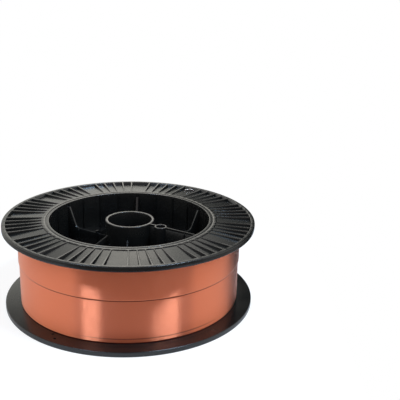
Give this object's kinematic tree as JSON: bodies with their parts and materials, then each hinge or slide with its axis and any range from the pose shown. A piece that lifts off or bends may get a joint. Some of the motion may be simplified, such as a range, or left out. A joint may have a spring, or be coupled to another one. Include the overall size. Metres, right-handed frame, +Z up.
{
  "type": "welding wire spool",
  "caption": "Ribbed two-part plastic spool with a webbed hub and a full winding of copper-coated steel welding wire between its flanges.",
  "frame": {"origin": "centre of the lower flange's outer face, on the floor that the spool lies on", "axes": "+Z up along the spool's axis; the web with the drive hole points 30 degrees to the -Y side of +X"},
  "size_m": [0.3, 0.3, 0.103],
  "materials": {
    "black_plastic": "injection moulded, satin black",
    "copper_coated_wire": "drawn steel wire with a thin bright copper coat"
  },
  "bodies": {
    "root": {"lower_spool_half": "black_plastic", "upper_spool_half": "black_plastic", "wire_winding": "copper_coated_wire", "wire_end": "copper_coated_wire"}
  },
  "joints": []
}
